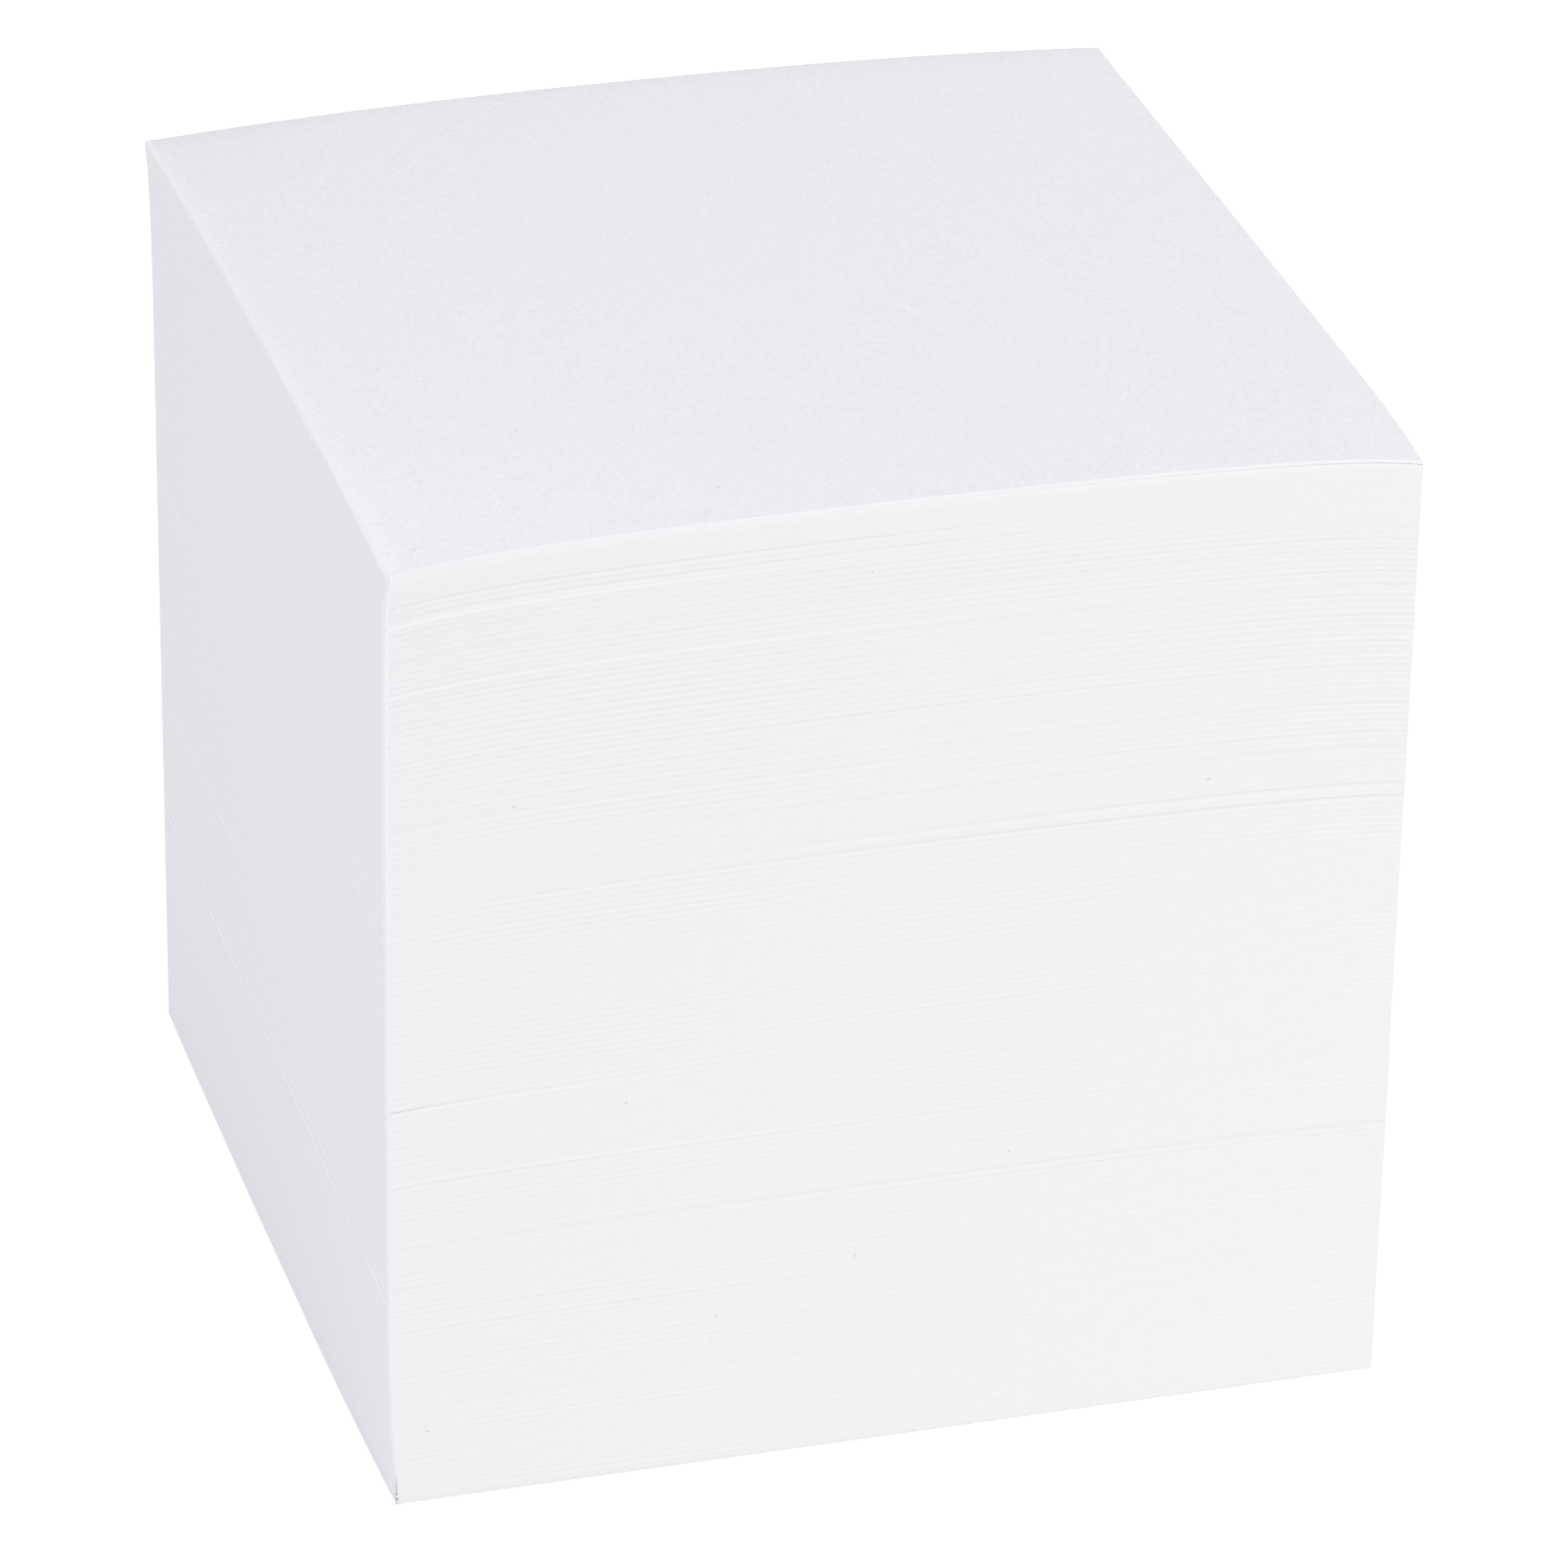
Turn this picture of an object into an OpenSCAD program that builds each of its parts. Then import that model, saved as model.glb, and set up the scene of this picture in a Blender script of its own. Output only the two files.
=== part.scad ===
// Memo cube: a square block of loose white sheets, held along its left edge by a film of padding glue.
// The front edge lies along X, the sheets are stacked along Z, and the origin is under the middle.

/* [Sheets] */
// Width of a sheet, along the front edge
sheet_w = 90; // [60:1:120]
// Depth of a sheet, from the front edge to the back edge
sheet_d = 90; // [60:1:120]
// Height of the stack at its near corners
stack_h = 90; // [66:1:110]
// Thickness of one sheet
sheet_t = 0.1; // [0.08:0.005:0.12]

/* [Lifts] */
// Sheets in the lowest lift, under the first seam
lift_1 = 216; // [120:1:240]
// Sheets in the second lift
lift_2 = 117; // [60:1:140]
// Sheets in the third lift, and the rest of the stack lies on it
lift_3 = 247; // [150:1:280]
// Depth of the groove round the cut edges at a seam between two lifts
seam_groove = 0.2; // [0.1:0.05:0.5]

/* [Cut edges] */
// Sheets that the knife left standing out together as one pack
pack_sheets = 12; // [9:1:30]
// Depth of the groove between two packs
pack_groove = 0.16; // [0.05:0.01:0.3]
// How far one pack lies behind another
pack_step = 0.07; // [0:0.01:0.15]
// Rounding of the sheets' ends along the bottom and the top of the stack
end_round = 0.08; // [0:0.01:0.2]

/* [Open gap] */
// Sheets of the third lift under the gap that opens at the front left corner
gap_sheets = 60; // [30:1:100]
// Depth of the gap at the corner
gap_depth = 0.7; // [0.2:0.1:1.5]
// Distance along the front edge over which the gap closes
gap_run = 4; // [2:0.5:10]

/* [Crown] */
// Rise of the stack midway along the front edge
crown_front = 0.9; // [0:0.05:2]
// Rise of the stack midway along the back edge
crown_back = 1.3; // [0:0.05:2]
// Rise of the stack midway along the glued left edge
crown_left = 0.55; // [0:0.05:2]
// Rise of the stack midway along the right edge
crown_right = 0.05; // [0:0.05:2]
// How far the stack sinks at its two near corners
corner_droop = 0.9; // [0:0.05:1.5]
// Distance from a near corner over which it sinks
droop_reach = 5.5; // [2:0.5:10]

/* [Glued face] */
// Thickness of the film of glue
glue_t = 0.6; // [0.3:0.1:1.5]
// Height of the bead that the glue left along each seam
seam_bead = 0.15; // [0:0.05:0.3]
// How far the near corner draws in at the foot of the glued face
foot_tuck = 0.9; // [0:0.1:1.5]
// Height over which that corner comes back out
foot_reach = 6.5; // [3:0.5:12]
// How far the near corner draws in at the top of the glued face
head_tuck = 0.3; // [0:0.1:1]
// How far the far corner leans out at the top of the glued face
head_flare = 0.5; // [0:0.1:1]
// Height over which both top corners straighten
head_reach = 5; // [2:0.5:10]

/* [Hidden] */

// Columns of facets along the front and back edges, the right edge and the glued left edge
front_cols = 8;
right_cols = 6;
left_cols = 3;
// Rings of the top sheet, as shares of its size
cap_rings = [0.94, 0.7, 0.4];
// Powers that shape the arch of the stack's top and the fade of a corner along the glued face
arch_power = 2.4;
fade_power = 4;
// Seeds and spread of the packs' uneven thickness
share_seed = 11;
share_low = 0.6;
share_high = 1.4;
// Seeds of the packs' uneven edges on the front, right and back faces
FRONT = 0;
RIGHT = 1;
BACK = 2;
edge_seeds = [21, 22, 23];

// Sheets in the whole stack, and the height that each takes up in it
sheet_count = round(stack_h / sheet_t);
sheet_pitch = stack_h / sheet_count;
middle_x = (sheet_w - glue_t - head_flare) / 2;
middle_y = sheet_d / 2;

// Stretches of the stack from the bottom up, each with the mark that ends it
PLAIN = 0;
SEAM = 1;
GAP = 2;
stretches = [
  [lift_1, SEAM],
  [lift_2, SEAM],
  [gap_sheets, GAP],
  [lift_3 - gap_sheets, SEAM],
  [sheet_count - lift_1 - lift_2 - lift_3, PLAIN]
];

// Sum of a list's first values
function total(list, count) = count < 1 ? 0 : list[count - 1] + total(list, count - 1);

// Grooves between the packs of one stretch, as heights above its foot with their marks
function pack_grooves(sheets, mark, seed) =
  let (
    packs = max(1, round(sheets / pack_sheets)),
    shares = rands(share_low, share_high, packs, seed),
    whole = total(shares, packs)
  )
  [for (j = [1:packs]) [sheets * sheet_pitch * total(shares, j) / whole, j == packs ? mark : PLAIN]];

stretch_sheets = [for (s = stretches) s[0]];
grooves = [
  [0, PLAIN],
  for (i = [0:len(stretches) - 1])
    for (g = pack_grooves(stretches[i][0], stretches[i][1], share_seed + i))
      [total(stretch_sheets, i) * sheet_pitch + g[0], g[1]]
];

// Levels of the stack: a groove, the middle of the pack above it, the next groove, and so on
last_level = 2 * (len(grooves) - 1);
levels = [
  for (k = [0:last_level])
    k % 2 == 0 ? grooves[k / 2][0] : (grooves[(k - 1) / 2][0] + grooves[(k + 1) / 2][0]) / 2
];
function mark_at(k) = k % 2 == 0 ? grooves[k / 2][1] : PLAIN;
uneven = [for (seed = edge_seeds) rands(0, 1, last_level + 1, seed)];

// How far a cut face lies inside the sheets' outline at one level
function relief(face, k) =
  k == 0 || k == last_level ? end_round
  : mark_at(k) == SEAM ? seam_groove
  : k % 2 == 0 ? pack_groove * (1 + uneven[face][k]) / 2
  : pack_step * uneven[face][k];

// The open gap cuts into the front face from its left corner
function front_relief(u, k) =
  relief(FRONT, k) + (mark_at(k) == GAP ? gap_depth * exp(-u * sheet_w / gap_run) : 0);

// The glued face draws in at its near corner and leans out at its far top corner
function left_relief(v, z) =
  let (
    near = pow(1 - v, fade_power),
    far = pow(v, fade_power),
    head = exp((z - stack_h) / head_reach)
  )
  foot_tuck * near * exp(-z / foot_reach) + (head_tuck * near - head_flare * far) * head;

// Height that the stack gains over its near corners, with u across the sheet and v from front to back
function arch(s) = 1 - pow(abs(2 * s - 1), arch_power);
function mix(a, b, s) = a + (b - a) * s;
function droop(u, v) = exp(-norm([u * sheet_w, v * sheet_d]) / droop_reach);
function crown(u, v) =
  corner_droop * (1 - droop(u, v) - droop(1 - u, v))
  + arch(u) * mix(crown_front, crown_back, v)
  + arch(v) * mix(crown_left, crown_right, u);

// A point on the stack's side at one level, for a place on the outline of the sheet
function side_point(place, k) =
  let (
    u = place[0],
    v = place[1],
    in_left = u == 0 ? left_relief(v, levels[k]) : 0,
    in_right = u == 1 ? relief(RIGHT, k) : 0,
    in_front = v == 0 ? front_relief(u, k) : 0,
    in_back = v == 1 ? relief(BACK, k) : 0
  )
  [
    u * sheet_w + in_left - in_right,
    v * sheet_d + in_front - in_back,
    levels[k] * (1 + crown(u, v) / stack_h)
  ];

// Places along an edge, closer together near the corners
function stations(cols) = [for (i = [0:cols - 1]) (1 - cos(180 * i / cols)) / 2];
left_places = [for (s = stations(left_cols)) [0, 1 - s]];
outline = concat(
  [for (s = stations(front_cols)) [s, 0]],
  [for (s = stations(right_cols)) [1, s]],
  [for (s = stations(front_cols)) [1 - s, 1]],
  left_places
);

// Triangles between the rings of a tube, where the rings run counter-clockwise seen from above
function tube_faces(columns, rings) = [
  for (k = [0:rings - 2])
    for (i = [0:columns - 1])
      let (
        a = k * columns + i,
        b = k * columns + (i + 1) % columns,
        c = b + columns,
        d = a + columns
      )
      for (face = [[a, d, c], [a, c, b]]) face
];
function turned(faces) = [for (f = faces) [for (i = [len(f) - 1:-1:0]) f[i]]];

// The stack of sheets, crowned by the air between them, with its packs' uneven cut edges
module sheet_block() {
  columns = len(outline);
  rings = last_level + 1 + len(cap_rings);
  side = [for (k = [0:last_level]) for (place = outline) side_point(place, k)];
  cap = [
    for (share = cap_rings)
      for (place = outline)
        let (u = mix(0.5, place[0], share), v = mix(0.5, place[1], share))
        [u * sheet_w, v * sheet_d, stack_h + crown(u, v)]
  ];
  foot = [sheet_w / 2, sheet_d / 2, 0];
  peak = [sheet_w / 2, sheet_d / 2, stack_h + crown(0.5, 0.5)];
  foot_index = rings * columns;
  peak_index = foot_index + 1;
  last_ring = (rings - 1) * columns;
  color("white")
    translate([-middle_x, -middle_y, 0])
      polyhedron(
        points = concat(side, cap, [foot, peak]),
        faces = concat(
          [for (i = [0:columns - 1]) [i, (i + 1) % columns, foot_index]],
          tube_faces(columns, rings),
          [for (i = [0:columns - 1]) [last_ring + i, peak_index, last_ring + (i + 1) % columns]]
        )
      );
}

// The film of glue, moulded to the stack's left face, with a bead along each seam
module glue_edge() {
  places = concat(left_places, [[0, 0]]);
  across = len(places);
  columns = 2 * across;
  points = [
    for (k = [0:last_level])
      let (
        inner = [for (place = places) side_point(place, k)],
        thick = glue_t + (mark_at(k) == SEAM ? seam_bead : 0)
      )
      concat(inner, [for (i = [across - 1:-1:0]) [inner[i][0] - thick, places[i][1] * sheet_d, inner[i][2]]])
  ];
  top_ring = last_level * columns;
  caps = [
    for (i = [0:across - 2])
      let (j = columns - 1 - i)
      for (face = [[i, j, j - 1], [i, j - 1, i + 1]]) face
  ];
  color("whitesmoke")
    translate([-middle_x, -middle_y, 0])
      polyhedron(
        points = [for (ring = points) for (p = ring) p],
        faces = concat(
          turned(tube_faces(columns, last_level + 1)),
          caps,
          turned([for (f = caps) [for (i = f) i + top_ring]])
        )
      );
}

sheet_block();
glue_edge();
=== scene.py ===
"""The looks of a memo cube: a square block of loose white sheets with a glued left edge.

Lengths are in millimetres until a mesh or a material is made. The form repeats the solids' own rules.
"""

import math

import bpy
import numpy as np
from mathutils import Matrix, Vector


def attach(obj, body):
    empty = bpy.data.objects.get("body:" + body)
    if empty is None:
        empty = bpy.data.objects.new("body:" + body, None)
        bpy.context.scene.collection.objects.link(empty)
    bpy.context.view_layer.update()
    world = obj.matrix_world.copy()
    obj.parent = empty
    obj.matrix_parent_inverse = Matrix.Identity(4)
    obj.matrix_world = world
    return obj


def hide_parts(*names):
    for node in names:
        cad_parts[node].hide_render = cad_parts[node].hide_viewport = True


MM = 0.001

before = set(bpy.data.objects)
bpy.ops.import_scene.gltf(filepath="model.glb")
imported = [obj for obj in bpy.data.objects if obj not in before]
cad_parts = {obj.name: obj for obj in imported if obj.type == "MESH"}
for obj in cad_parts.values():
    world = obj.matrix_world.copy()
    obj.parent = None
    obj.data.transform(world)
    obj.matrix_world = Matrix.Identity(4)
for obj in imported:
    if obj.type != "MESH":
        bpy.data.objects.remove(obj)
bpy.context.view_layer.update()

# The stack of sheets, as the solids have it
SHEET_W = 90.0
SHEET_D = 90.0
SHEET_T = 0.1
SHEETS = 900
STACK_H = SHEETS * SHEET_T
SEAM_SHEETS = (216, 333, 580)
GAP_SHEET = 393
END_ROUND = 0.08
CROWN_FRONT, CROWN_BACK, CROWN_LEFT, CROWN_RIGHT = 0.9, 1.3, 0.55, 0.05
ARCH_POWER = 2.4
CORNER_DROOP, DROOP_REACH = 0.9, 5.5

# The glued face, as the solids have it
GLUE_T = 0.6
FOOT_TUCK, FOOT_REACH = 0.9, 6.5
HEAD_TUCK, HEAD_FLARE, HEAD_REACH = 0.3, 0.5, 5.0
FADE_POWER = 4
MIDDLE = np.array([(SHEET_W - GLUE_T - HEAD_FLARE) / 2, SHEET_D / 2, 0.0])


# Form of the stack


def mix(a, b, s):
    return a + (b - a) * s


def arch(s):
    return 1 - np.abs(2 * s - 1) ** ARCH_POWER


def droop(u, v):
    return np.exp(-np.hypot(u * SHEET_W, v * SHEET_D) / DROOP_REACH)


def crown(u, v):
    """Height that the stack gains over its near corners, with u across a sheet and v from front to back."""
    along = arch(u) * mix(CROWN_FRONT, CROWN_BACK, v)
    across = arch(v) * mix(CROWN_LEFT, CROWN_RIGHT, u)
    return CORNER_DROOP * (1 - droop(u, v) - droop(1 - u, v)) + along + across


def left_relief(v, z):
    """How far the glued face draws in at its near corner, or leans out at its far top corner."""
    near, far = (1 - v) ** FADE_POWER, v**FADE_POWER
    head = np.exp((z - STACK_H) / HEAD_REACH)
    return FOOT_TUCK * near * np.exp(-z / FOOT_REACH) + (HEAD_TUCK * near - HEAD_FLARE * far) * head


# Columns of the mesh along each face of the stack
FRONT_COLS, RIGHT_COLS, LEFT_COLS = 30, 22, 14


def stations(cols):
    """Places from 0 up to 1 along an edge, closer together near its ends."""
    return (1 - np.cos(np.pi * np.arange(cols) / cols)) / 2


def outline():
    """Places round a sheet as u and v, from the near left corner along the front edge."""
    front, right, left = stations(FRONT_COLS), stations(RIGHT_COLS), stations(LEFT_COLS)
    u = np.concatenate([front, np.ones(RIGHT_COLS), 1 - front, np.zeros(LEFT_COLS)])
    v = np.concatenate([np.zeros(FRONT_COLS), right, np.ones(FRONT_COLS), 1 - left])
    return u, v


# Meshes

# Faces that meet at a larger angle than this have a hard edge between them
SHARP = math.radians(40)


def new_object(name, data):
    """Puts a mesh, a lamp or a camera into the scene."""
    made = bpy.data.objects.new(name, data)
    bpy.context.scene.collection.objects.link(made)
    return made


def add_mesh(name, points, faces, materials, face_material, smooth, shade):
    """Makes a mesh from points in millimetres and from lists of faces, each with one number of corners."""
    mesh = bpy.data.meshes.new(name)
    corners = np.concatenate([f.ravel() for f in faces]).astype(np.int32)
    totals = np.concatenate([np.full(len(f), f.shape[1]) for f in faces]).astype(np.int32)
    starts = np.concatenate([[0], np.cumsum(totals)[:-1]]).astype(np.int32)
    counts = [len(f) for f in faces]
    mesh.vertices.add(len(points))
    mesh.vertices.foreach_set("co", ((points - MIDDLE) * MM).astype(np.float32).ravel())
    mesh.loops.add(len(corners))
    mesh.loops.foreach_set("vertex_index", corners)
    mesh.polygons.add(len(totals))
    mesh.polygons.foreach_set("loop_start", starts)
    mesh.polygons.foreach_set("loop_total", totals)
    mesh.polygons.foreach_set("material_index", np.repeat(face_material, counts).astype(np.int32))
    mesh.polygons.foreach_set("use_smooth", np.repeat(smooth, counts))
    for material in materials:
        mesh.materials.append(material)
    layer = mesh.attributes.new("shade", "FLOAT", "POINT")
    layer.data.foreach_set("value", shade.astype(np.float32))
    mesh.update(calc_edges=True)
    mesh.validate()
    mesh.set_sharp_from_angle(angle=SHARP)
    return new_object(name, mesh)


def tube_quads(rings, columns, first=0):
    """Faces between stacked rings that run counter-clockwise seen from above."""
    k, i = np.meshgrid(np.arange(rings - 1), np.arange(columns), indexing="ij")
    j = (i + 1) % columns
    a, b = first + k * columns + i, first + k * columns + j
    return np.stack([a, b, b + columns, a + columns], axis=-1).reshape(-1, 4)


def fan(ring_first, columns, middle, upward):
    """Triangles from a ring to the point in its middle."""
    i = np.arange(columns)
    a, b = ring_first + i, ring_first + (i + 1) % columns
    ends = (a, b) if upward else (b, a)
    return np.stack([*ends, np.full(columns, middle)], axis=-1)


# Cut edges of the sheets

# A sheet's cut edge fills the thickness between these shares, and a groove the rest
EDGE_LOW, EDGE_HIGH = 0.07, 0.93
# Depth of the cut faces inside the sheets' outline, of the ripple on them and of the grooves between sheets
EDGE_DEPTH, RIPPLE_DEPTH, SHEET_GROOVE = 0.07, 0.0115, 0.012
# How far the lifts of sheets lie behind one another on each face, from the lowest lift up
LIFT_STEPS = {
    "front": (0.0, 0.01, -0.01, 0.005),
    "right": (0.02, -0.03, 0.03, -0.01),
    "back": (0.0, 0.02, -0.02, 0.0),
}
# Height over which the sheets' ends round off at the foot and the top of the stack
ROUND_REACH = 0.4

# Seed of each face's random draws
FACE_SEEDS = {"front": 31, "right": 32, "back": 33}
# The knife's ripple: periods in sheets, their shares of the ripple and how far each band spreads
RIPPLE_BANDS = [(5.85, 0.85, 0.07), (8.5, 0.2, 0.2), (20.0, 0.2, 0.4), (3.6, 0.3, 0.2)]
# How far each band's swell and fade up the stack is evened out, from 0 to 1
EVENNESS = 0.8
# Turn of the ripple's phase along a face, in radians, and the length over which it turns back and forth
PHASE_TURN, PHASE_RUN = 0.7, 110.0
# A second ripple that comes and goes along the face: its share of the first, and its length
SECOND_SHARE, SECOND_RUN = 0.45, 64.0
# Strength of the front's ripple at the foot of its left edge, its loss to the right and its gain to the top
FRONT_STRENGTH, FRONT_LOSS, FRONT_GAIN = 0.92, 0.34, 0.45
# Strength of the other faces' ripple at the foot
SIDE_STRENGTH = 0.4
# Share of the height at which the ripple ends, how much lower that is at the front's right end, and its fade
SMOOTH_TOP, SMOOTH_DROP, SMOOTH_FADE = 0.98, 0.045, 0.004

# Painted shade on the cut faces: light and shade of the ripple's slopes, shade in the grooves and in rougher
# parts, darker towards the top, and for each millimetre of a dark or a bright line's depth
SLOPE_SHADE, GROOVE_SHADE, ROUGH_PAINTED_SHADE, TOPWARD_PAINTED_SHADE = 0.004, 0.01, 0.006, 0.026
DARK_MARK_SHADE, BRIGHT_MARK_HIGHLIGHT = 0.35, 0.8

# Lines that stand out on the front face: sheet, half width in sheets, depth, the shares of the face from left
# to right between which the line runs, and how softly it ends. Those of a negative depth stand proud with a
# painted highlight on them; the others are grooves with painted shade in them.
FRONT_MARKS = [
    (896.0, 0.8, 0.045, 0.58, 2.00, 0.08),
    (895.0, 5.5, -0.028, -1.0, 2.00, 0.10),
    (889.5, 1.0, 0.025, 0.80, 2.00, 0.04),
    (874.5, 1.1, 0.035, -1.0, 0.25, 0.05),
    (869.0, 1.2, 0.070, -1.0, 0.60, 0.06),
    (864.0, 1.0, 0.035, -1.0, 0.20, 0.05),
    (857.5, 1.2, 0.045, -1.0, 0.82, 0.06),
    (851.0, 2.0, -0.060, -1.0, 0.36, 0.07),
    (838.0, 8.0, 0.010, -1.0, 0.45, 0.08),
    (832.5, 1.0, 0.035, 0.40, 0.85, 0.05),
    (826.5, 1.1, 0.040, 0.48, 2.00, 0.06),
    (816.5, 1.2, 0.055, -1.0, 2.00, 0.05),
    (796.0, 1.1, 0.035, 0.70, 2.00, 0.04),
    (789.5, 1.1, 0.045, -1.0, 0.12, 0.03),
    (785.5, 1.2, -0.034, -1.0, 0.62, 0.12),
    (782.0, 1.1, 0.035, 0.30, 2.00, 0.06),
    (778.0, 1.1, 0.035, -1.0, 0.40, 0.06),
    (754.0, 1.1, 0.040, 0.70, 2.00, 0.04),
    (720.0, 1.1, 0.040, 0.50, 2.00, 0.08),
    (707.0, 1.1, 0.040, 0.34, 0.88, 0.05),
    (670.0, 1.1, 0.035, 0.52, 2.00, 0.05),
    (661.5, 1.1, 0.050, -1.0, 0.48, 0.06),
    (643.5, 1.1, 0.035, 0.60, 2.00, 0.06),
    (628.0, 1.1, 0.048, 0.35, 2.00, 0.10),
    (593.0, 1.2, 0.090, 0.42, 2.00, 0.14),
    (587.0, 2.5, -0.018, 0.50, 2.00, 0.15),
    (580.5, 1.2, 0.098, 0.42, 2.00, 0.14),
    (389.5, 1.0, -0.040, -1.0, 0.22, 0.04),
    (352.0, 1.0, 0.030, 0.84, 0.93, 0.02),
    (327.0, 1.0, 0.030, 0.76, 0.97, 0.03),
    (321.0, 1.3, -0.025, -1.0, 0.30, 0.10),
    (317.0, 1.1, 0.035, -1.0, 0.70, 0.10),
    (255.5, 1.1, 0.070, -0.1, 2.00, 0.20),
    (248.5, 1.1, 0.045, 0.40, 2.00, 0.08),
    (216.0, 1.2, 0.060, -1.0, 0.05, 0.02),
    (197.0, 1.0, 0.030, 0.82, 0.95, 0.02),
    (190.0, 1.1, 0.040, -1.0, 0.25, 0.05),
    (172.0, 1.1, 0.036, -1.0, 0.62, 0.08),
    (137.5, 1.1, 0.030, -1.0, 2.00, 0.10),
    (26.0, 1.1, 0.025, 0.80, 2.00, 0.03),
    (3.0, 1.0, 0.050, -1.0, 0.30, 0.08),
]
# Lines of the same kind on each face that stays out of sight: how many, the ranges from which their sheet,
# depth, start and run are drawn, their half width and how softly they end
HIDDEN_MARKS = 9
MARK_SHEETS, MARK_DEPTHS, MARK_STARTS, MARK_RUNS = (20, 880), (0.02, 0.07), (-1.0, 0.6), (0.5, 1.4)
MARK_HALF, MARK_SOFT = 1.1, 0.1

# Places where sheets stand apart on the front face: the end at which they do, the sheet over the opening,
# the opening's height and depth, the distance over which it closes and the number of sheets that bend
OPENINGS = [
    ("left", GAP_SHEET, 0.045, 0.45, 3.5, 12),
    ("right", 897, 0.04, 0.2, 12.0, 2),
]
# How far sheets may rise over the crowned stack at an opening
MOST_RISE = 0.2


def ripple(rng):
    """A wave over the sheets with the knife's main period, and weaker slower and quicker ones.

    It is complex, so that a turn of its phase moves it along the stack.
    """
    per_sheet = np.fft.fftfreq(SHEETS)
    spectrum = np.fft.fft(rng.normal(size=SHEETS))
    wave = np.zeros(SHEETS, complex)
    for period, part, spread in RIPPLE_BANDS:
        band = np.exp(-(((per_sheet * period - 1) / spread) ** 2) / 2)
        single = np.fft.ifft(spectrum * band)
        single = single / np.abs(single) ** EVENNESS
        wave += part * single / single.std()
    return wave / wave.real.std()


def ripple_strength(face, share, level):
    """How strongly the ripple shows: most near the top and, on the front, towards the glued edge."""
    if face == "front":
        strength = FRONT_STRENGTH - FRONT_LOSS * share + FRONT_GAIN * level**3
        smooth_top = SMOOTH_TOP - SMOOTH_DROP * share
    else:
        strength = SIDE_STRENGTH + level**2
        smooth_top = SMOOTH_TOP
    return strength / (1 + np.exp((level - smooth_top) / SMOOTH_FADE))


def between(share, start, end, soft):
    """1 between two places along a face and 0 outside them, with soft ends."""
    return 1 / ((1 + np.exp((start - share) / soft)) * (1 + np.exp((share - end) / soft)))


def random_marks(rng):
    """Lines for a face that stays out of sight."""
    marks = []
    for _ in range(HIDDEN_MARKS):
        start = rng.uniform(*MARK_STARTS)
        sheet, deep = rng.integers(*MARK_SHEETS), rng.uniform(*MARK_DEPTHS)
        marks.append((sheet, MARK_HALF, deep, start, start + rng.uniform(*MARK_RUNS), MARK_SOFT))
    return marks


class CutFace:
    """One cut face of the whole stack: its depth and shade at any level and at any share of its length."""

    def __init__(self, face):
        rng = np.random.default_rng(FACE_SEEDS[face])
        self.face = face
        self.waves = ripple(rng), ripple(rng)
        self.phase = rng.uniform(0, 2 * np.pi)
        self.marks = FRONT_MARKS if face == "front" else random_marks(rng)

    def wave(self, position, share):
        """The ripple, with a row for each level and a column for each place along the face."""
        along = 2 * np.pi * share * SHEET_W
        turn = np.exp(1j * PHASE_TURN * np.sin(along / PHASE_RUN + self.phase))
        second_part = SECOND_SHARE * np.sin(along / SECOND_RUN + 2 * self.phase)
        first, second = (np.interp(position, np.arange(SHEETS) + 0.5, wave) for wave in self.waves)
        return np.real(first[:, None] * turn[None, :] + second[:, None] * second_part[None, :])

    def at(self, position, sheet, is_groove, share):
        """Depth inside the sheets' outline and shade, with rows and columns as in the ripple."""
        level, groove = (position / SHEETS)[:, None], is_groove[:, None]
        strength = ripple_strength(self.face, share[None, :], level)
        lift = np.searchsorted(SEAM_SHEETS, sheet, side="right")
        from_end = np.minimum(position, SHEETS - position) * SHEET_T
        depth = EDGE_DEPTH + np.array(LIFT_STEPS[self.face])[lift][:, None]
        depth = depth + END_ROUND * np.clip(1 - from_end / ROUND_REACH, 0, 1)[:, None] ** 2
        depth = depth + RIPPLE_DEPTH * strength * self.wave(position, share) + SHEET_GROOVE * groove
        # Painted shade: light and shade of each sheet's slope, shade in the grooves and rougher parts, darker
        # towards the top
        slope = self.wave(sheet + EDGE_HIGH, share) - self.wave(sheet + EDGE_LOW, share)
        shade = 1 + SLOPE_SHADE * strength * slope / slope.std() - GROOVE_SHADE * groove
        shade = shade - ROUGH_PAINTED_SHADE * strength - TOPWARD_PAINTED_SHADE * level
        # Each line's depth is painted too: painted shade in a groove, a painted highlight where it stands
        # proud
        for middle, half, deep, start, end, soft in self.marks:
            across = np.exp(-(((position - middle) / half) ** 2))
            line = across[:, None] * between(share, start, end, soft)[None, :]
            depth = depth + deep * line
            shade = shade - (DARK_MARK_SHADE if deep > 0 else BRIGHT_MARK_HIGHLIGHT) * deep * line
        return np.clip(depth, 0.0, None), shade


def openings_at(position, share):
    """Height that the openings add at a level of the front face, and depth that they add to its grooves."""
    rise = np.zeros((len(position), len(share)))
    depth = np.zeros_like(rise)
    for end, sheet, open_by, deep, run, bends in OPENINGS:
        distance = (share if end == "left" else 1 - share) * SHEET_W
        fade = np.exp(-distance / run)
        away = position - sheet
        lift = np.sign(away) * np.exp(-np.abs(away) / bends) * open_by / 2
        rise += lift[:, None] * fade[None, :]
        depth += (away == 0)[:, None] * deep * fade[None, :]
    return rise, depth


# The lifts of sheets

# Rings of a lift's upper end from its outline to its middle, and the power that draws them outwards
CAP_RINGS, RING_POWER = 26, 0.8
# Power that fades the outline's unevenness out over those rings
EDGE_POWER = 8
# Hollows of the top sheet: their depth, and the share of each wave, its runs along x and y and its phase
COCKLE = 0.012
COCKLE_WAVES = [(1.0, 9.0, 23.0, 0.7), (0.8, -31.0, 7.5, 2.1), (0.5, 5.1, 5.1, 0.0)]
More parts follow.
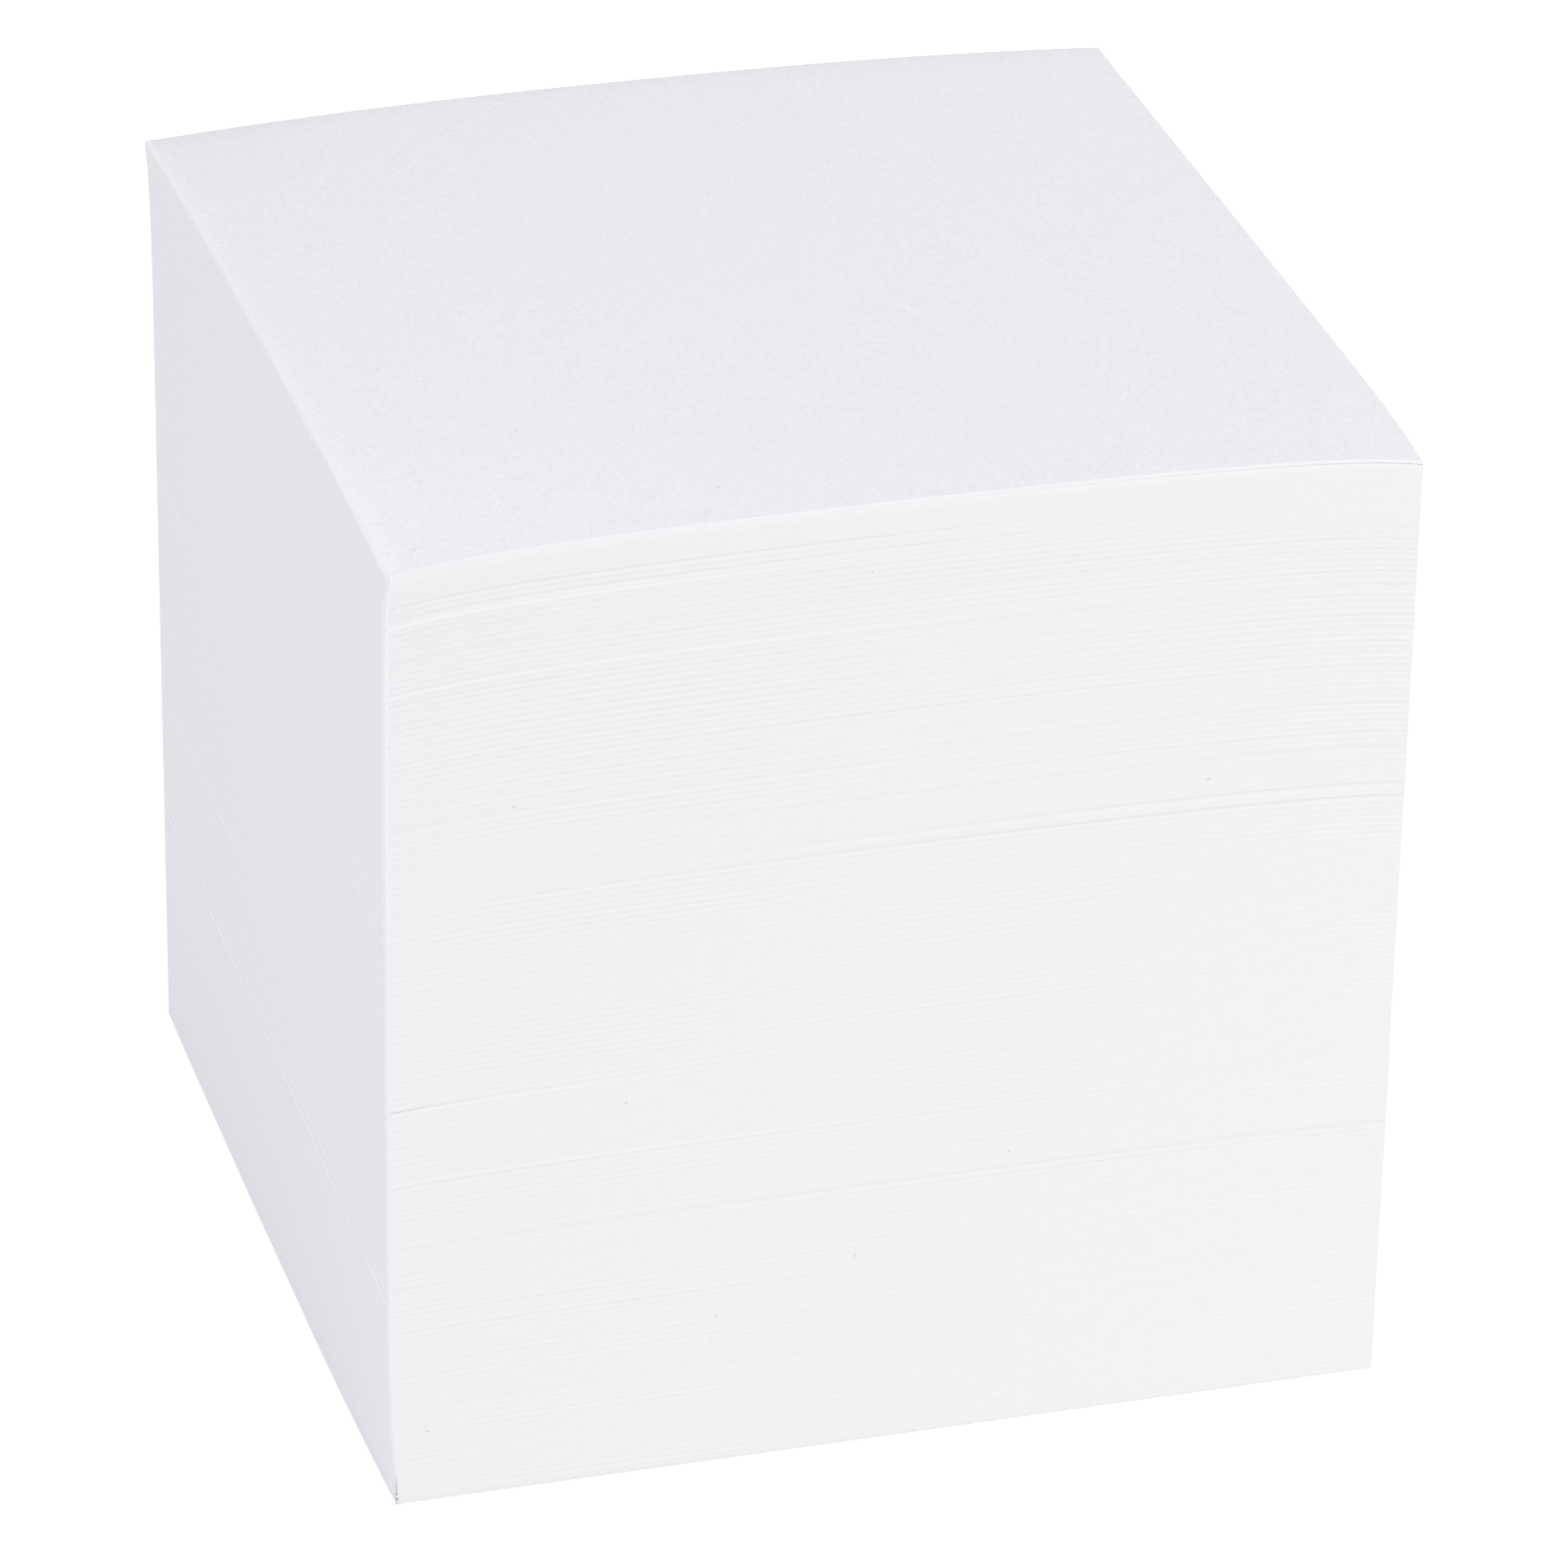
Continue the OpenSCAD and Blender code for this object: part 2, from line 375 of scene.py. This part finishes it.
# Painted shade: the top sheet is darker along its far edge and at its far left corner, and over what
# distances that fades
FAR_EDGE_PAINTED_SHADE, FAR_EDGE_REACH = 0.045, 1.4
FAR_CORNER_PAINTED_SHADE, FAR_CORNER_BACK, FAR_CORNER_SIDE = 0.024, 8.0, 14.0
# Painted light: it is brighter at its near left corner, along its glued rim and towards its far right corner
NEAR_CORNER_PAINTED_LIGHT, NEAR_CORNER_REACH = 0.018, 25.0
LEFT_RIM_PAINTED_HIGHLIGHT, LEFT_RIM_REACH = 0.03, 0.7
FAR_RIGHT_PAINTED_LIGHT = 0.012


def lift_levels(first, last):
    """Levels of one lift, in sheets from the foot, each with its sheet and whether it is a groove."""
    sheet = np.arange(first, last)
    position = np.append(np.stack([sheet, sheet + EDGE_LOW, sheet + EDGE_HIGH], axis=1).ravel(), last)
    number = np.append(np.repeat(sheet, 3), last - 1)
    is_groove = np.append(np.tile([True, False, False], len(sheet)), True)
    return position, number, is_groove & (position > 0) & (position < SHEETS)


def cockle(u, v):
    """Slight hollows of the top sheet, which lies loose on the stack."""
    x, y, depth = u * SHEET_W, v * SHEET_D, 0
    for share, run_x, run_y, phase in COCKLE_WAVES:
        depth = depth + share * (1 - np.sin(x / run_x + y / run_y + phase))
    return -COCKLE * depth


def top_shade(u, v):
    """Painted shade and painted light on the top sheet, at the edges and corners that the constants above
    name.
    """
    from_left, from_front, from_back = u * SHEET_W, v * SHEET_D, (1 - v) * SHEET_D
    far_corner = (from_back / FAR_CORNER_BACK) ** 2 + (from_left / FAR_CORNER_SIDE) ** 2
    near_corner = (from_left**2 + from_front**2) / NEAR_CORNER_REACH**2
    dark = FAR_EDGE_PAINTED_SHADE * np.exp(-from_back / FAR_EDGE_REACH) + FAR_CORNER_PAINTED_SHADE * np.exp(-far_corner)
    bright = NEAR_CORNER_PAINTED_LIGHT * np.exp(-near_corner) + FAR_RIGHT_PAINTED_LIGHT * u * v
    return 1 - dark + bright + LEFT_RIM_PAINTED_HIGHLIGHT * np.exp(-from_left / LEFT_RIM_REACH)


def crowned(level, u, v):
    """Height in the crowned stack of a level that is given as in a flat one."""
    return level * (1 + crown(u, v) / STACK_H)


def ring_points(u, v, inset_x, inset_y, height):
    """Points of rings at places of the sheet, moved by their insets."""
    return np.stack([u * SHEET_W + inset_x, v * SHEET_D + inset_y, height], axis=-1)


def lift_side(cut_faces, position, sheet, is_groove):
    """Insets of a lift's side from the outline, its levels in a flat stack and its shade."""
    u, v = outline()
    relief, shades = {}, {}
    for face, cut in cut_faces.items():
        relief[face], shades[face] = cut.at(position, sheet, is_groove, v if face == "right" else u)
    on_front, on_right, on_back = v == 0, u == 1, v == 1
    rise, depth = openings_at(position, u)
    flat = np.broadcast_to(position[:, None] * SHEET_T, rise.shape)
    levels = np.maximum.accumulate(np.clip(flat + rise * on_front, 0.0, STACK_H + MOST_RISE), axis=0)
    inset_x = (u == 0) * left_relief(v[None, :], flat) - on_right * relief["right"]
    inset_y = on_front * (relief["front"] + depth) - on_back * relief["back"]
    shade = 1 + on_front * (shades["front"] - 1) + (on_right & ~on_front) * (shades["right"] - 1)
    return inset_x, inset_y, levels, shade + (on_back & ~on_right) * (shades["back"] - 1)


def lift_cap(inset_x, inset_y, level, last):
    """Rings of a lift's upper end inside its outline, with their shades."""
    u, v = outline()
    flat, is_top = last * SHEET_T, last == SHEETS
    rings, shades = [], []
    for share in np.linspace(1, 0, CAP_RINGS + 1)[1:-1] ** RING_POWER:
        ring_u, ring_v = mix(0.5, u, share), mix(0.5, v, share)
        edge = share**EDGE_POWER
        height = crowned(flat, ring_u, ring_v) + (level - flat) * edge
        if is_top:
            height = height + cockle(ring_u, ring_v) * (1 - edge)
        rings.append(ring_points(ring_u, ring_v, inset_x * edge, inset_y * edge, height))
        shades.append(top_shade(ring_u, ring_v) if is_top else np.ones(len(u)))
    return rings, shades


def add_lift(name, first, last, cut_faces, materials):
    """One lift of sheets as a closed mesh: its cut edges, the face behind the glue, and its two ends."""
    u, v = outline()
    inset_x, inset_y, levels, side_shade = lift_side(cut_faces, *lift_levels(first, last))
    # The top sheet's outline carries its painted shade and light as well
    if last == SHEETS:
        side_shade[-1] = top_shade(u, v)
    side = ring_points(u, v, inset_x, inset_y, crowned(levels, u, v))
    cap, cap_shades = lift_cap(inset_x[-1], inset_y[-1], levels[-1], last)
    middles = [[SHEET_W / 2, SHEET_D / 2, crowned(sheet * SHEET_T, 0.5, 0.5)] for sheet in (first, last)]
    points = np.concatenate([side.reshape(-1, 3), *cap, middles])
    shade = np.concatenate([side_shade.ravel(), *cap_shades, np.ones(len(middles))])
    side_rings, columns = levels.shape
    all_rings = side_rings + len(cap)
    foot_index = all_rings * columns
    faces = [
        tube_quads(side_rings, columns),
        tube_quads(len(cap) + 1, columns, (side_rings - 1) * columns),
        fan((all_rings - 1) * columns, columns, foot_index + 1, True),
        fan(0, columns, foot_index, False),
    ]
    made = add_mesh(name, points, faces, materials, [0, 1, 1, 1], [False, True, True, True], shade)
    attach(made, "root")
    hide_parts("sheet_block")


def add_stack(materials):
    cut_faces = {face: CutFace(face) for face in FACE_SEEDS}
    floors = (0, *SEAM_SHEETS, SHEETS)
    for k, (first, last) in enumerate(zip(floors, floors[1:])):
        add_lift(f"sheets_lift_{k + 1}", first, last, cut_faces, materials)


# Film of glue on the left face

# Columns of the film between its rims, both ends counted, and height of its rows
GLUE_COLS, GLUE_ROW_H = 70, 0.6
# Rounding of the film's rims, its end's distance behind the sheets' outline, and its least thickness
RIM_RADIUS, RIM_STEPS = 0.4, 7
RIM_INSET = 0.05
LEAST_FILM = 0.02
# Gentle waves of the film: their height, the weaker one's share, and the run and phase of each along y and z
GLUE_WAVE, WEAK_SHARE = 0.02, 0.6
WAVE_Y_RUN, WAVE_Y_PHASE, WAVE_Z_RUN, WAVE_Z_PHASE = 9.1, 0.4, 13.7, 1.1
WEAK_Y_RUN, WEAK_Z_RUN, WEAK_PHASE = 4.3, 21.0, 2.0
# Where the waves are level, the film is this thick
LEVEL_FILM = GLUE_T - GLUE_WAVE * (1 + WEAK_SHARE)
# The film thins out at its near top corner, less far along y, and its top rim has a painted highlight
CORNER_THIN, CORNER_REACH, CORNER_NARROW = 0.42, 1.3, 1.2
RIM_PAINTED_HIGHLIGHT = 0.045
# Beads and lines in the film: height at the near and the far edge, ridge, half its width, the shares of the
# face from front to back between which it runs, how softly it ends, and its painted highlight
BEADS = [
    (68.3, 71.5, 0.010, 0.13, 0.18, 0.55, 0.05, 0.030),
    (58.3, 59.6, 0.010, 0.13, -1.0, 0.45, 0.06, 0.030),
    (57.3, 58.6, 0.025, 0.14, -1.0, 0.65, 0.06, 0.055),
    (55.4, 56.6, 0.030, 0.16, -1.0, 2.0, 0.06, 0.052),
    (33.2, 34.4, 0.028, 0.15, 0.17, 2.0, 0.03, 0.085),
    (24.4, 27.4, 0.018, 0.14, 0.05, 2.0, 0.06, 0.055),
    (21.8, 23.3, 0.024, 0.14, -1.0, 2.0, 0.06, 0.100),
    (20.4, 22.0, 0.030, 0.15, -1.0, 2.0, 0.06, 0.125),
    (18.2, 19.3, 0.010, 0.13, 0.40, 2.0, 0.06, 0.030),
]
# Rows of the mesh over each bead, and how many of its half widths they reach to each side
BEAD_ROWS, BEAD_REACH = 9, 2.6
# How much a bead swells and fades along the face, and over what length
BEAD_SWELL, SWELL_RUN = 0.2, 5.2
# Painted shadow under a bead: its share of the bead's painted highlight, and how many half widths it lies
# lower
BEAD_SHADOW, SHADOW_DROP = 0.5, 1.8


def film_crown(v):
    """The crown along the left edge, straight between the columns that the sheets have there."""
    columns = np.concatenate([stations(LEFT_COLS), [1.0]])
    return np.interp(v, columns, crown(np.zeros(LEFT_COLS + 1), columns))


def glue_surface(v, z):
    """Thickness and painted shade of the film: waves, a thin corner, painted highlights on its rim and beads.
    """
    y = v * SHEET_D
    wave = np.sin(y / WAVE_Y_RUN + WAVE_Y_PHASE) * np.sin(z / WAVE_Z_RUN + WAVE_Z_PHASE)
    wave = wave + WEAK_SHARE * np.sin(y / WEAK_Y_RUN + z / WEAK_Z_RUN + WEAK_PHASE)
    corner = np.exp(-np.hypot(STACK_H - z, CORNER_NARROW * y) / CORNER_REACH)
    thick = LEVEL_FILM + GLUE_WAVE * wave - CORNER_THIN * corner
    # Painted highlight along the film's top rim
    shade = 1 + RIM_PAINTED_HIGHLIGHT * np.clip(1 - (STACK_H - z) / RIM_RADIUS, 0, 1)
    off_rim = np.clip((y - RIM_INSET) / RIM_RADIUS, 0, 1)
    for near, far, ridge, half, start, end, soft, glow in BEADS:
        away = (z - mix(near, far, v)) / half
        swell = 1 - BEAD_SWELL + BEAD_SWELL * np.sin(y / SWELL_RUN + near)
        strength = between(v, start, end, soft) * swell * off_rim
        bead, shadow = np.exp(-(away**2)), BEAD_SHADOW * np.exp(-((away + SHADOW_DROP) ** 2))
        thick = thick + ridge * strength * bead
        # Each bead gets a painted highlight, with a painted shadow under it
        shade = shade + glow * strength * (bead - shadow)
    return thick, shade


def row_heights(v_columns):
    """Heights of the film's rows at each column: even steps, and finer ones that follow every bead."""
    even = np.arange(0, STACK_H - RIM_RADIUS, GLUE_ROW_H)
    rows = [np.full(len(v_columns), z) for z in even]
    for near, far, _, half, *_ in BEADS:
        for step in np.linspace(-BEAD_REACH, BEAD_REACH, BEAD_ROWS):
            rows.append(mix(near, far, v_columns) + half * step)
    return np.sort(np.array(rows), axis=0)


def add_glue(material):
    """The film as a closed tube of rings, each to the front on the inner face and back on the outer one."""
    turn = np.linspace(0, np.pi / 2, RIM_STEPS + 1)
    near_y, near_cut = RIM_INSET + RIM_RADIUS * (1 - np.cos(turn)), RIM_RADIUS * (1 - np.sin(turn))
    middle_y = np.linspace(near_y[-1], SHEET_D - near_y[-1], GLUE_COLS)[1:-1]
    outer_y = np.concatenate([near_y, middle_y, SHEET_D - near_y[::-1]])
    side = len(outer_y)
    y = np.concatenate([outer_y[::-1], outer_y])
    v = y / SHEET_D
    is_outer = np.arange(2 * side) >= side
    end_cut = np.tile(np.concatenate([near_cut, np.zeros(len(middle_y)), near_cut[::-1]]), 2)
    below = row_heights(v)
    head = STACK_H - RIM_RADIUS + RIM_RADIUS * np.sin(turn)
    z = np.concatenate([below, np.repeat(head[:, None], len(v), axis=1)])
    head_cut = np.concatenate([np.zeros(len(below)), RIM_RADIUS * (1 - np.cos(turn))])
    thick, shade = glue_surface(v[None, :], z)
    thick = np.maximum(thick - np.maximum(end_cut[None, :], head_cut[:, None]), LEAST_FILM)
    x = left_relief(v[None, :], z) - is_outer * thick
    height = z * (1 + film_crown(v)[None, :] / STACK_H)
    points = np.stack([x, np.broadcast_to(y, x.shape), height], axis=-1).reshape(-1, 3)
    k = np.arange(side - 1)
    cap = np.stack([side - 1 - k, side - 2 - k, side + k + 1, side + k], axis=-1)
    last_ring = (len(z) - 1) * len(y)
    faces = [tube_quads(len(z), len(y))[:, ::-1], cap[:, ::-1], cap + last_ring]
    made = add_mesh("glue_film", points, faces, [material], [0] * 3, [True] * 3, shade.ravel())
    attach(made, "root")
    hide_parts("glue_edge")


# Materials

PAPER = (0.885, 0.879, 0.905)
CUT_PAPER = (0.893, 0.889, 0.915)
GLUE = (0.877, 0.871, 0.902)

# Specks in the paper and the glue, in millimetres from the middle of the foot: x and y of those on the top
# sheet, y and z of those on the glue, and x and z of those on the front face
TOP_SPECKS = [(24.4, 0.3), (10.2, -9.7), (-28.3, -24.2), (-14.7, -38.9)]
LEFT_SPECKS = [(-15.7, 88.9), (-14.6, 84.7), (-16.1, 79.5), (22.5, 22.6)]
FRONT_SPECKS = [
    (-33.7, 67.3),
    (27.5, 62.0),
    (-23.8, 37.4),
    (-15.6, 14.8),
    (-3.1, 19.1),
    (-41.4, 7.1),
    (10.7, 27.6),
    (-2.9, 85.4),
]
SPECK_RADIUS, SPECK_SHADE = 0.19, 0.76

# Sockets of the mixing node, whose names also belong to its other kinds of value
FIRST_COLOUR, SECOND_COLOUR, MIXED_COLOUR = 6, 7, 2


def new_material(name, colour, roughness, specular):
    material = bpy.data.materials.new(name)
    material.use_nodes = True
    tree = material.node_tree
    shader = tree.nodes["Principled BSDF"]
    shader.inputs["Base Color"].default_value = (*colour, 1.0)
    shader.inputs["Roughness"].default_value = roughness
    shader.inputs["Specular IOR Level"].default_value = specular
    return material, tree, shader


def add_node(tree, kind, settings=None, **inputs):
    """A node with its settings and the values of its unlinked sockets."""
    node = tree.nodes.new(kind)
    for key, value in (settings or {}).items():
        setattr(node, key, value)
    for key, value in inputs.items():
        node.inputs[key.replace("_", " ")].default_value = value
    return node


def calculate(tree, operation, first, second):
    """Works out one value from a socket and another socket or a plain number."""
    node = add_node(tree, "ShaderNodeMath", {"operation": operation})
    tree.links.new(first, node.inputs[0])
    if isinstance(second, float):
        node.inputs[1].default_value = second
    else:
        tree.links.new(second, node.inputs[1])
    return node.outputs["Value"]


def product(tree, first, *others):
    for other in others:
        first = calculate(tree, "MULTIPLY", first, other)
    return first


def object_place(tree):
    """Place on the object in metres."""
    return add_node(tree, "ShaderNodeTexCoord").outputs["Object"]


def noise(tree, stretch, scale, detail):
    """Noise from 0 to 1, with its scale multiplied along each axis by the stretch."""
    mapping = add_node(tree, "ShaderNodeMapping", Scale=stretch)
    tree.links.new(object_place(tree), mapping.inputs["Vector"])
    node = add_node(tree, "ShaderNodeTexNoise", Scale=scale, Detail=detail)
    tree.links.new(mapping.outputs["Vector"], node.inputs["Vector"])
    return node.outputs["Fac"]


def remap(tree, value, low, high):
    """Turns a value from 0 to 1 into one from low to high."""
    node = add_node(tree, "ShaderNodeMapRange", To_Min=low, To_Max=high)
    tree.links.new(value, node.inputs["Value"])
    return node.outputs["Result"]


def mesh_shade(tree):
    """The painted shade and light that the mesh carries at each point."""
    return add_node(tree, "ShaderNodeAttribute", {"attribute_name": "shade"}).outputs["Fac"]


def speck(tree, place):
    """1 away from a speck, and darker towards its middle."""
    away = add_node(tree, "ShaderNodeVectorMath", {"operation": "DISTANCE"})
    tree.links.new(object_place(tree), away.inputs[0])
    away.inputs[1].default_value = tuple(c * MM for c in place)
    shade = add_node(tree, "ShaderNodeMapRange", From_Max=SPECK_RADIUS * MM, To_Min=SPECK_SHADE)
    tree.links.new(away.outputs["Value"], shade.inputs["Value"])
    return shade.outputs["Result"]


def tint(tree, shader, colour, *factors):
    """Sets the shader's colour to one colour times factors that change over the surface."""
    node = add_node(tree, "ShaderNodeMix", {"data_type": "RGBA", "blend_type": "MULTIPLY"}, Factor=1.0)
    node.inputs[FIRST_COLOUR].default_value = (*colour, 1.0)
    tree.links.new(product(tree, *factors), node.inputs[SECOND_COLOUR])
    tree.links.new(node.outputs[MIXED_COLOUR], shader.inputs["Base Color"])


def bump(tree, shader, height, distance, strength):
    node = add_node(tree, "ShaderNodeBump", Strength=strength, Distance=distance * MM)
    tree.links.new(height, node.inputs["Height"])
    tree.links.new(node.outputs["Normal"], shader.inputs["Normal"])


def top_place(x, y):
    """The place on the top sheet at x and y from the middle of the foot."""
    u, v = (x + MIDDLE[0]) / SHEET_W, (y + MIDDLE[1]) / SHEET_D
    return x, y, float(STACK_H + crown(u, v) + cockle(u, v))


def glue_place(y, z):
    """The place on the film of glue at y from the middle and z from the foot."""
    return float(left_relief(y / SHEET_D + 0.5, z) - LEVEL_FILM - MIDDLE[0]), y, z


def front_place(x, z):
    """The place on the front face at x from the middle and z from the foot."""
    return x, EDGE_DEPTH - SHEET_D / 2, z


def cut_paper():
    """Cut edges: the painted shade of every sheet's slope and of the lines, with short fibres along the cut.
    """
    material, tree, shader = new_material("cut_paper", CUT_PAPER, roughness=0.92, specular=0.2)
    fibre = noise(tree, (1.0, 1.0, 1.3), scale=3600.0, detail=2.0)
    marks = [speck(tree, front_place(x, z)) for x, z in FRONT_SPECKS]
    tint(tree, shader, CUT_PAPER, mesh_shade(tree), remap(tree, fibre, 0.985, 1.015), *marks)
    bump(tree, shader, fibre, distance=0.02, strength=0.5)
    return material


def top_paper():
    """The face of a sheet: its painted shade and light, with fine grain over soft cloudiness."""
    material, tree, shader = new_material("top_paper", PAPER, roughness=0.85, specular=0.25)
    grain = noise(tree, (1.0, 1.0, 1.0), scale=2600.0, detail=2.0)
    cloud = noise(tree, (1.0, 1.0, 1.0), scale=420.0, detail=2.0)
    uneven = remap(tree, grain, 0.92, 1.08), remap(tree, cloud, 0.992, 1.008)
    marks = [speck(tree, top_place(x, y)) for x, y in TOP_SPECKS]
    tint(tree, shader, PAPER, mesh_shade(tree), *uneven, *marks)
    bump(tree, shader, grain, distance=0.03, strength=0.6)
    return material


def dried_glue():
    """Dried padding glue: even, a little smoother than the paper, with faint strokes along it."""
    material, tree, shader = new_material("dried_glue", GLUE, roughness=0.6, specular=0.35)
    stroke = noise(tree, (1.0, 0.3, 1.0), scale=1800.0, detail=3.0)
    edges = noise(tree, (1.0, 0.015, 1.0), scale=2600.0, detail=1.0)
    uneven = remap(tree, stroke, 0.98, 1.02), remap(tree, edges, 0.99, 1.01)
    marks = [speck(tree, glue_place(y, z)) for y, z in LEFT_SPECKS]
    # The mesh carries the painted highlights of the rim and beads, and the painted shadows under the beads
    tint(tree, shader, GLUE, mesh_shade(tree), *uneven, *marks)
    bump(tree, shader, stroke, distance=0.02, strength=0.4)
    return material


# Stage, light and camera

FLOOR_SIZE = 6.0
FLOOR_COLOUR = (0.95, 0.95, 0.955)
FLOOR_GLOW = 0.4
WORLD_COLOUR = (0.961, 0.95, 1.0)
WORLD_LIGHT = 0.811
WHITE = (1.0, 1.0, 1.0, 1.0)

# Lamps: name, place and size in metres, power and colour
LAMPS = [
    ("key", (0.6, -0.35, 0.15), 0.28, 0.9, (0.957, 1.0, 0.762)),
    ("front", (0.05, -0.45, 0.05), 0.09, 0.104, (0.942, 1.0, 0.846)),
    ("left", (-0.3, -0.2, 0.35), 0.15, 0.146, (0.945, 1.0, 0.79)),
    ("over", (0.05, -0.15, 0.45), 0.15, 0.169, (0.98, 1.0, 0.905)),
]

# Camera that was fitted to the block's corners in the photograph: place in metres, and angles in degrees
CAMERA_PLACE = (-0.1858, -0.6419, 0.3967)
CAMERA_AZIMUTH, CAMERA_DOWN, CAMERA_ROLL = 16.385, 27.957, 1.023
CAMERA_LENS, SENSOR = 192.36, 36.0
CLIP_START, CLIP_END = 0.01, 20.0


def seen_directly(tree):
    """1 for rays that come straight from the camera, or through a reflection or glass, and 0 for others."""
    path = add_node(tree, "ShaderNodeLightPath").outputs
    camera_or_glossy = calculate(tree, "MAXIMUM", path["Is Camera Ray"], path["Is Glossy Ray"])
    return calculate(tree, "MAXIMUM", camera_or_glossy, path["Is Transmission Ray"])


def add_floor():
    """A pale floor that keeps the block's shadow and is lifted to white for the camera."""
    half = FLOOR_SIZE / 2
    mesh = bpy.data.meshes.new("floor")
    corners = [(-half, -half, 0), (half, -half, 0), (half, half, 0), (-half, half, 0)]
    mesh.from_pydata(corners, [], [(0, 1, 2, 3)])
    floor = new_object("floor", mesh)
    material, tree, shader = new_material("floor", FLOOR_COLOUR, roughness=0.9, specular=0.1)
    shader.inputs["Emission Color"].default_value = WHITE
    glow = calculate(tree, "MULTIPLY", seen_directly(tree), FLOOR_GLOW)
    tree.links.new(glow, shader.inputs["Emission Strength"])
    mesh.materials.append(material)


def add_world():
    """Soft light from all around, behind which the camera sees plain white."""
    world = bpy.data.worlds.new("studio")
    bpy.context.scene.world = world
    world.use_nodes = True
    tree = world.node_tree
    light = tree.nodes["Background"]
    light.inputs["Color"].default_value = (*WORLD_COLOUR, 1.0)
    light.inputs["Strength"].default_value = WORLD_LIGHT
    white = add_node(tree, "ShaderNodeBackground", Color=WHITE, Strength=1.0)
    choice = add_node(tree, "ShaderNodeMixShader")
    tree.links.new(seen_directly(tree), choice.inputs["Fac"])
    tree.links.new(light.outputs["Background"], choice.inputs[1])
    tree.links.new(white.outputs["Background"], choice.inputs[2])
    tree.links.new(choice.outputs["Shader"], tree.nodes["World Output"].inputs["Surface"])


def add_softbox(name, place, size, power, colour):
    """A square lamp that faces the middle of the block."""
    data = bpy.data.lights.new(name, "AREA")
    data.shape, data.size, data.energy, data.color = "SQUARE", size, power, colour
    lamp = new_object(name, data)
    lamp.location = place
    lamp.visible_camera = False
    target = Vector((0, 0, STACK_H / 2 * MM))
    lamp.rotation_euler = (target - Vector(place)).to_track_quat("-Z", "Y").to_euler()


def add_camera():
    azimuth, down, roll = (math.radians(a) for a in (CAMERA_AZIMUTH, CAMERA_DOWN, CAMERA_ROLL))
    ahead = Vector((math.sin(azimuth) * math.cos(down), math.cos(azimuth) * math.cos(down), -math.sin(down)))
    level = Vector((math.cos(azimuth), -math.sin(azimuth), 0))
    upright = level.cross(ahead)
    right = level * math.cos(roll) + upright * math.sin(roll)
    up = upright * math.cos(roll) - level * math.sin(roll)
    data = bpy.data.cameras.new("camera")
    data.lens, data.sensor_width = CAMERA_LENS, SENSOR
    data.clip_start, data.clip_end = CLIP_START, CLIP_END
    camera = new_object("camera", data)
    turn = Matrix((right, up, -ahead)).transposed().to_4x4()
    camera.matrix_world = Matrix.Translation(CAMERA_PLACE) @ turn
    bpy.context.scene.camera = camera


add_stack([cut_paper(), top_paper()])
add_glue(dried_glue())
add_floor()
add_world()
for lamp in LAMPS:
    add_softbox(*lamp)
add_camera()
bpy.context.scene.view_settings.view_transform = "Standard"
